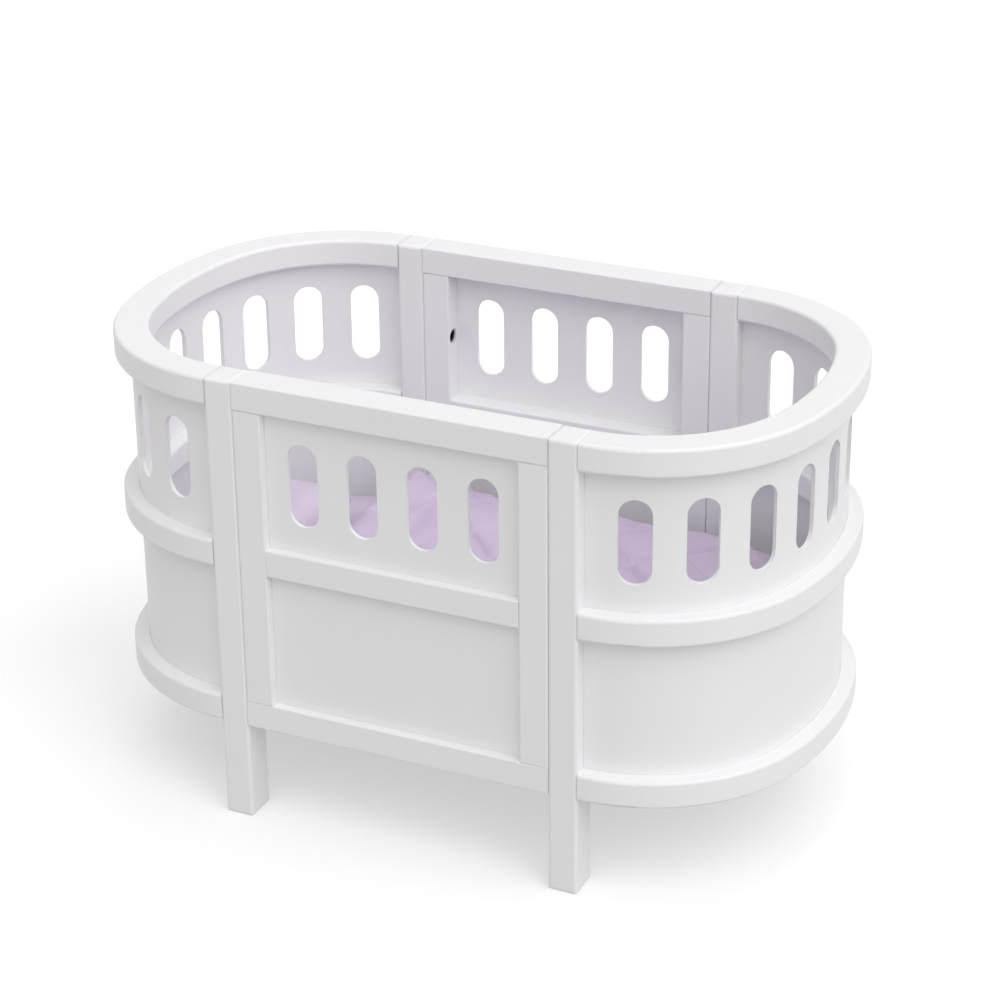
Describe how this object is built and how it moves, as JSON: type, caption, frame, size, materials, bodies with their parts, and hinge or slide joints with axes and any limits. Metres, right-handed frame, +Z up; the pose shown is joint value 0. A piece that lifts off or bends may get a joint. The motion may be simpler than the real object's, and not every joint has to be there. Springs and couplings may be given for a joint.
{
  "type": "crib",
  "caption": "Small crib for a doll: straight slotted sides, bowed slotted ends, straight legs, a base board and loose lilac bedding.",
  "frame": {"origin": "middle of the crib's footprint, on the floor", "axes": "+X along the crib to its right end, +Y towards the rear side, +Z up"},
  "size_m": [0.528, 0.31, 0.332],
  "materials": {
    "painted_wood": "white satin paint on solid wood",
    "painted_panel": "white satin paint on thin board",
    "bare_wood": "bare sanded beech",
    "black_steel": "black oxide steel",
    "zinc_steel": "zinc plated steel",
    "mattress_cotton": "lilac plain-weave cotton cover",
    "pillow_cotton": "lilac plain-weave cotton cover",
    "blanket_cotton": "lilac quilted cotton"
  },
  "bodies": {
    "crib_frame": {"post_front_left": "painted_wood", "post_front_right": "painted_wood", "post_rear_left": "painted_wood", "post_rear_right": "painted_wood", "front_top_rail": "painted_wood", "front_mid_rail": "painted_wood", "front_bottom_rail": "painted_wood", "front_left_stile": "painted_wood", "front_right_stile": "painted_wood", "front_upper_panel": "painted_panel", "front_lower_panel": "painted_panel", "rear_top_rail": "painted_wood", "rear_mid_rail": "painted_wood", "rear_bottom_rail": "painted_wood", "rear_left_stile": "painted_wood", "rear_right_stile": "painted_wood", "rear_upper_panel": "painted_panel", "rear_lower_panel": "painted_panel", "left_end_top_rail": "painted_wood", "left_end_mid_rail": "painted_wood", "left_end_bottom_rail": "painted_wood", "left_end_upper_panel": "painted_panel", "left_end_lower_panel": "painted_panel", "right_end_top_rail": "painted_wood", "right_end_mid_rail": "painted_wood", "right_end_bottom_rail": "painted_wood", "right_end_upper_panel": "painted_panel", "right_end_lower_panel": "painted_panel", "front_cleat": "painted_wood", "rear_cleat": "painted_wood", "left_cleat": "painted_wood", "right_cleat": "painted_wood", "base_board": "painted_panel", "connector_bolts": "black_steel", "threaded_inserts": "zinc_steel", "end_rail_dowels": "bare_wood", "side_rail_dowels": "bare_wood", "stile_dowels": "bare_wood", "cleat_screws": "zinc_steel", "base_screws": "zinc_steel"},
    "mattress": {"mattress": "mattress_cotton"},
    "pillow": {"pillow": "pillow_cotton"},
    "blanket": {"blanket": "blanket_cotton"}
  },
  "joints": [
    {"name": "mattress_lift", "type": "slide", "parent": "crib_frame", "child": "mattress", "axis": [0, 0, 1], "range_m": [0, 0.26]},
    {"name": "pillow_lift", "type": "slide", "parent": "mattress", "child": "pillow", "axis": [0, 0, 1], "range_m": [0, 0.22]},
    {"name": "blanket_lift", "type": "slide", "parent": "mattress", "child": "blanket", "axis": [0, 0, 1], "range_m": [0, 0.22]}
  ]
}
